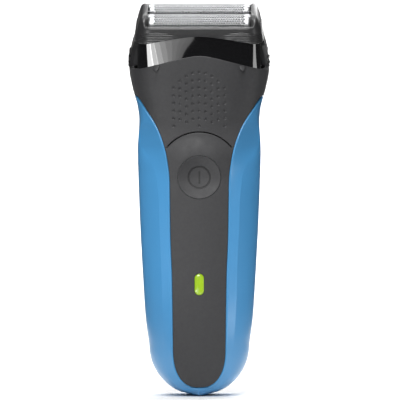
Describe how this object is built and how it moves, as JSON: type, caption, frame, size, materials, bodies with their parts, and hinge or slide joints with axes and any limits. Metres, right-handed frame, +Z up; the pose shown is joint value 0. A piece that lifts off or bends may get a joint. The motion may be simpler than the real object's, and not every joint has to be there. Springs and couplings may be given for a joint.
{
  "type": "electric shaver",
  "caption": "Cordless foil shaver with a tilted twin-foil cassette, soft front panel, round power button, status light and charging socket.",
  "frame": {"origin": "centre of the bounding box in X and Y, at the lowest point of the round lower end", "axes": "+X to the right seen from the front, -Y towards the user (the power button's side), +Z up along the grip to the foils"},
  "size_m": [0.058, 0.0407, 0.1603],
  "materials": {
    "blue_shell": "satin moulded plastic with a soft gloss",
    "soft_grip": "soft-touch matt rubber",
    "gloss_black": "polished piano black",
    "frame_black": "fine satin plastic",
    "button_black": "satin plastic with grip ribs",
    "green_lens": "translucent green light window",
    "foil_steel": "thin perforated steel foil",
    "blade_steel": "ground steel blades",
    "plain_steel": "plated steel",
    "motor_steel": "zinc-plated motor can",
    "brass": "turned brass",
    "gold_pin": "gold-plated contact",
    "inner_plastic": "unpainted inner moulding",
    "white_plastic": "low-friction acetal",
    "cell_sleeve": "shrink sleeve",
    "board_green": "solder-resist green",
    "chip_black": "moulded components",
    "seal_rubber": "gasket rubber",
    "lead_red": "insulated lead"
  },
  "bodies": {
    "housing": {"front_shell": "blue_shell", "rear_shell": "blue_shell", "upper_grip_pad": "soft_grip", "centre_strip": "soft_grip", "rear_grip_pad": "soft_grip", "housing_seal": "seal_rubber", "housing_screws": "plain_steel", "chassis": "inner_plastic", "battery_cell": "cell_sleeve", "battery_tabs": "plain_steel", "circuit_board": "board_green", "board_components": "chip_black", "tact_switch": "chip_black", "status_led": "green_lens", "led_lens": "green_lens", "power_socket": "frame_black", "socket_pins": "gold_pin", "motor_can": "motor_steel", "motor_terminals": "brass", "motor_leads": "lead_red", "head_base": "gloss_black", "drive_deck": "inner_plastic", "drive_membranes": "seal_rubber", "deck_screws": "plain_steel", "release_springs": "plain_steel"},
    "power_button": {"power_button": "soft_grip"},
    "release_left": {"release_button_left": "button_black"},
    "release_right": {"release_button_right": "button_black"},
    "rotor": {"motor_shaft": "plain_steel", "eccentric": "brass"},
    "bridge": {"drive_bridge": "white_plastic", "drive_pins": "plain_steel"},
    "front_cutter": {"front_cutter_carrier": "white_plastic", "front_cutter_blades": "blade_steel", "front_cutter_spring": "plain_steel"},
    "rear_cutter": {"rear_cutter_carrier": "white_plastic", "rear_cutter_blades": "blade_steel", "rear_cutter_spring": "plain_steel"},
    "cassette": {"cassette_frame": "frame_black", "trimmer_comb": "blade_steel"},
    "front_foil": {"front_foil": "foil_steel", "front_foil_holder": "inner_plastic"},
    "rear_foil": {"rear_foil": "foil_steel", "rear_foil_holder": "inner_plastic"},
    "trimmer_blade": {"trimmer_blade": "blade_steel"}
  },
  "joints": [
    {"name": "power_button_press", "type": "slide", "parent": "housing", "child": "power_button", "axis": [0, 1, 0], "range_m": [0, 0.0008], "stiffness_N_per_m": 900, "springref_m": -0.0004},
    {"name": "release_left_press", "type": "slide", "parent": "housing", "child": "release_left", "axis": [1, 0, 0], "range_m": [0, 0.0015], "stiffness_N_per_m": 700, "springref_m": -0.0005},
    {"name": "release_right_press", "type": "slide", "parent": "housing", "child": "release_right", "axis": [-1, 0, 0], "range_m": [0, 0.0015], "stiffness_N_per_m": 700, "springref_m": -0.0005},
    {"name": "cassette_lift", "type": "slide", "parent": "housing", "child": "cassette", "axis": [0, -0.4067, 0.9135], "range_m": [0, 0.018]},
    {"name": "front_foil_float", "type": "slide", "parent": "cassette", "child": "front_foil", "axis": [0, 0.4067, -0.9135], "range_m": [0, 0.0015], "stiffness_N_per_m": 400, "springref_m": -0.0004},
    {"name": "rear_foil_float", "type": "slide", "parent": "cassette", "child": "rear_foil", "axis": [0, 0.4067, -0.9135], "range_m": [0, 0.0015], "stiffness_N_per_m": 400, "springref_m": -0.0004},
    {"name": "motor_spin", "type": "hinge", "parent": "housing", "child": "rotor", "pos_m": [0, -0.00124, 0.12878], "axis": [0, -0.4067, 0.9135], "continuous": true},
    {"name": "drive_oscillation", "type": "slide", "parent": "housing", "child": "bridge", "axis": [1, 0, 0], "range_m": [-0.0012, 0.0012]},
    {"name": "front_cutter_float", "type": "slide", "parent": "bridge", "child": "front_cutter", "axis": [0, 0.4067, -0.9135], "range_m": [0, 0.0015], "stiffness_N_per_m": 200, "deforming": ["front_cutter_spring"]},
    {"name": "rear_cutter_float", "type": "slide", "parent": "bridge", "child": "rear_cutter", "axis": [0, 0.4067, -0.9135], "range_m": [0, 0.0015], "stiffness_N_per_m": 200, "deforming": ["rear_cutter_spring"]},
    {"name": "trimmer_stroke", "type": "slide", "parent": "cassette", "child": "trimmer_blade", "axis": [1, 0, 0], "range_m": [-0.0012, 0.0012]}
  ],
  "couplings": [
    {"joint": "front_cutter_float", "follows": "front_foil_float", "ratio": 1},
    {"joint": "rear_cutter_float", "follows": "rear_foil_float", "ratio": 1},
    {"joint": "trimmer_stroke", "follows": "drive_oscillation", "ratio": 1}
  ]
}
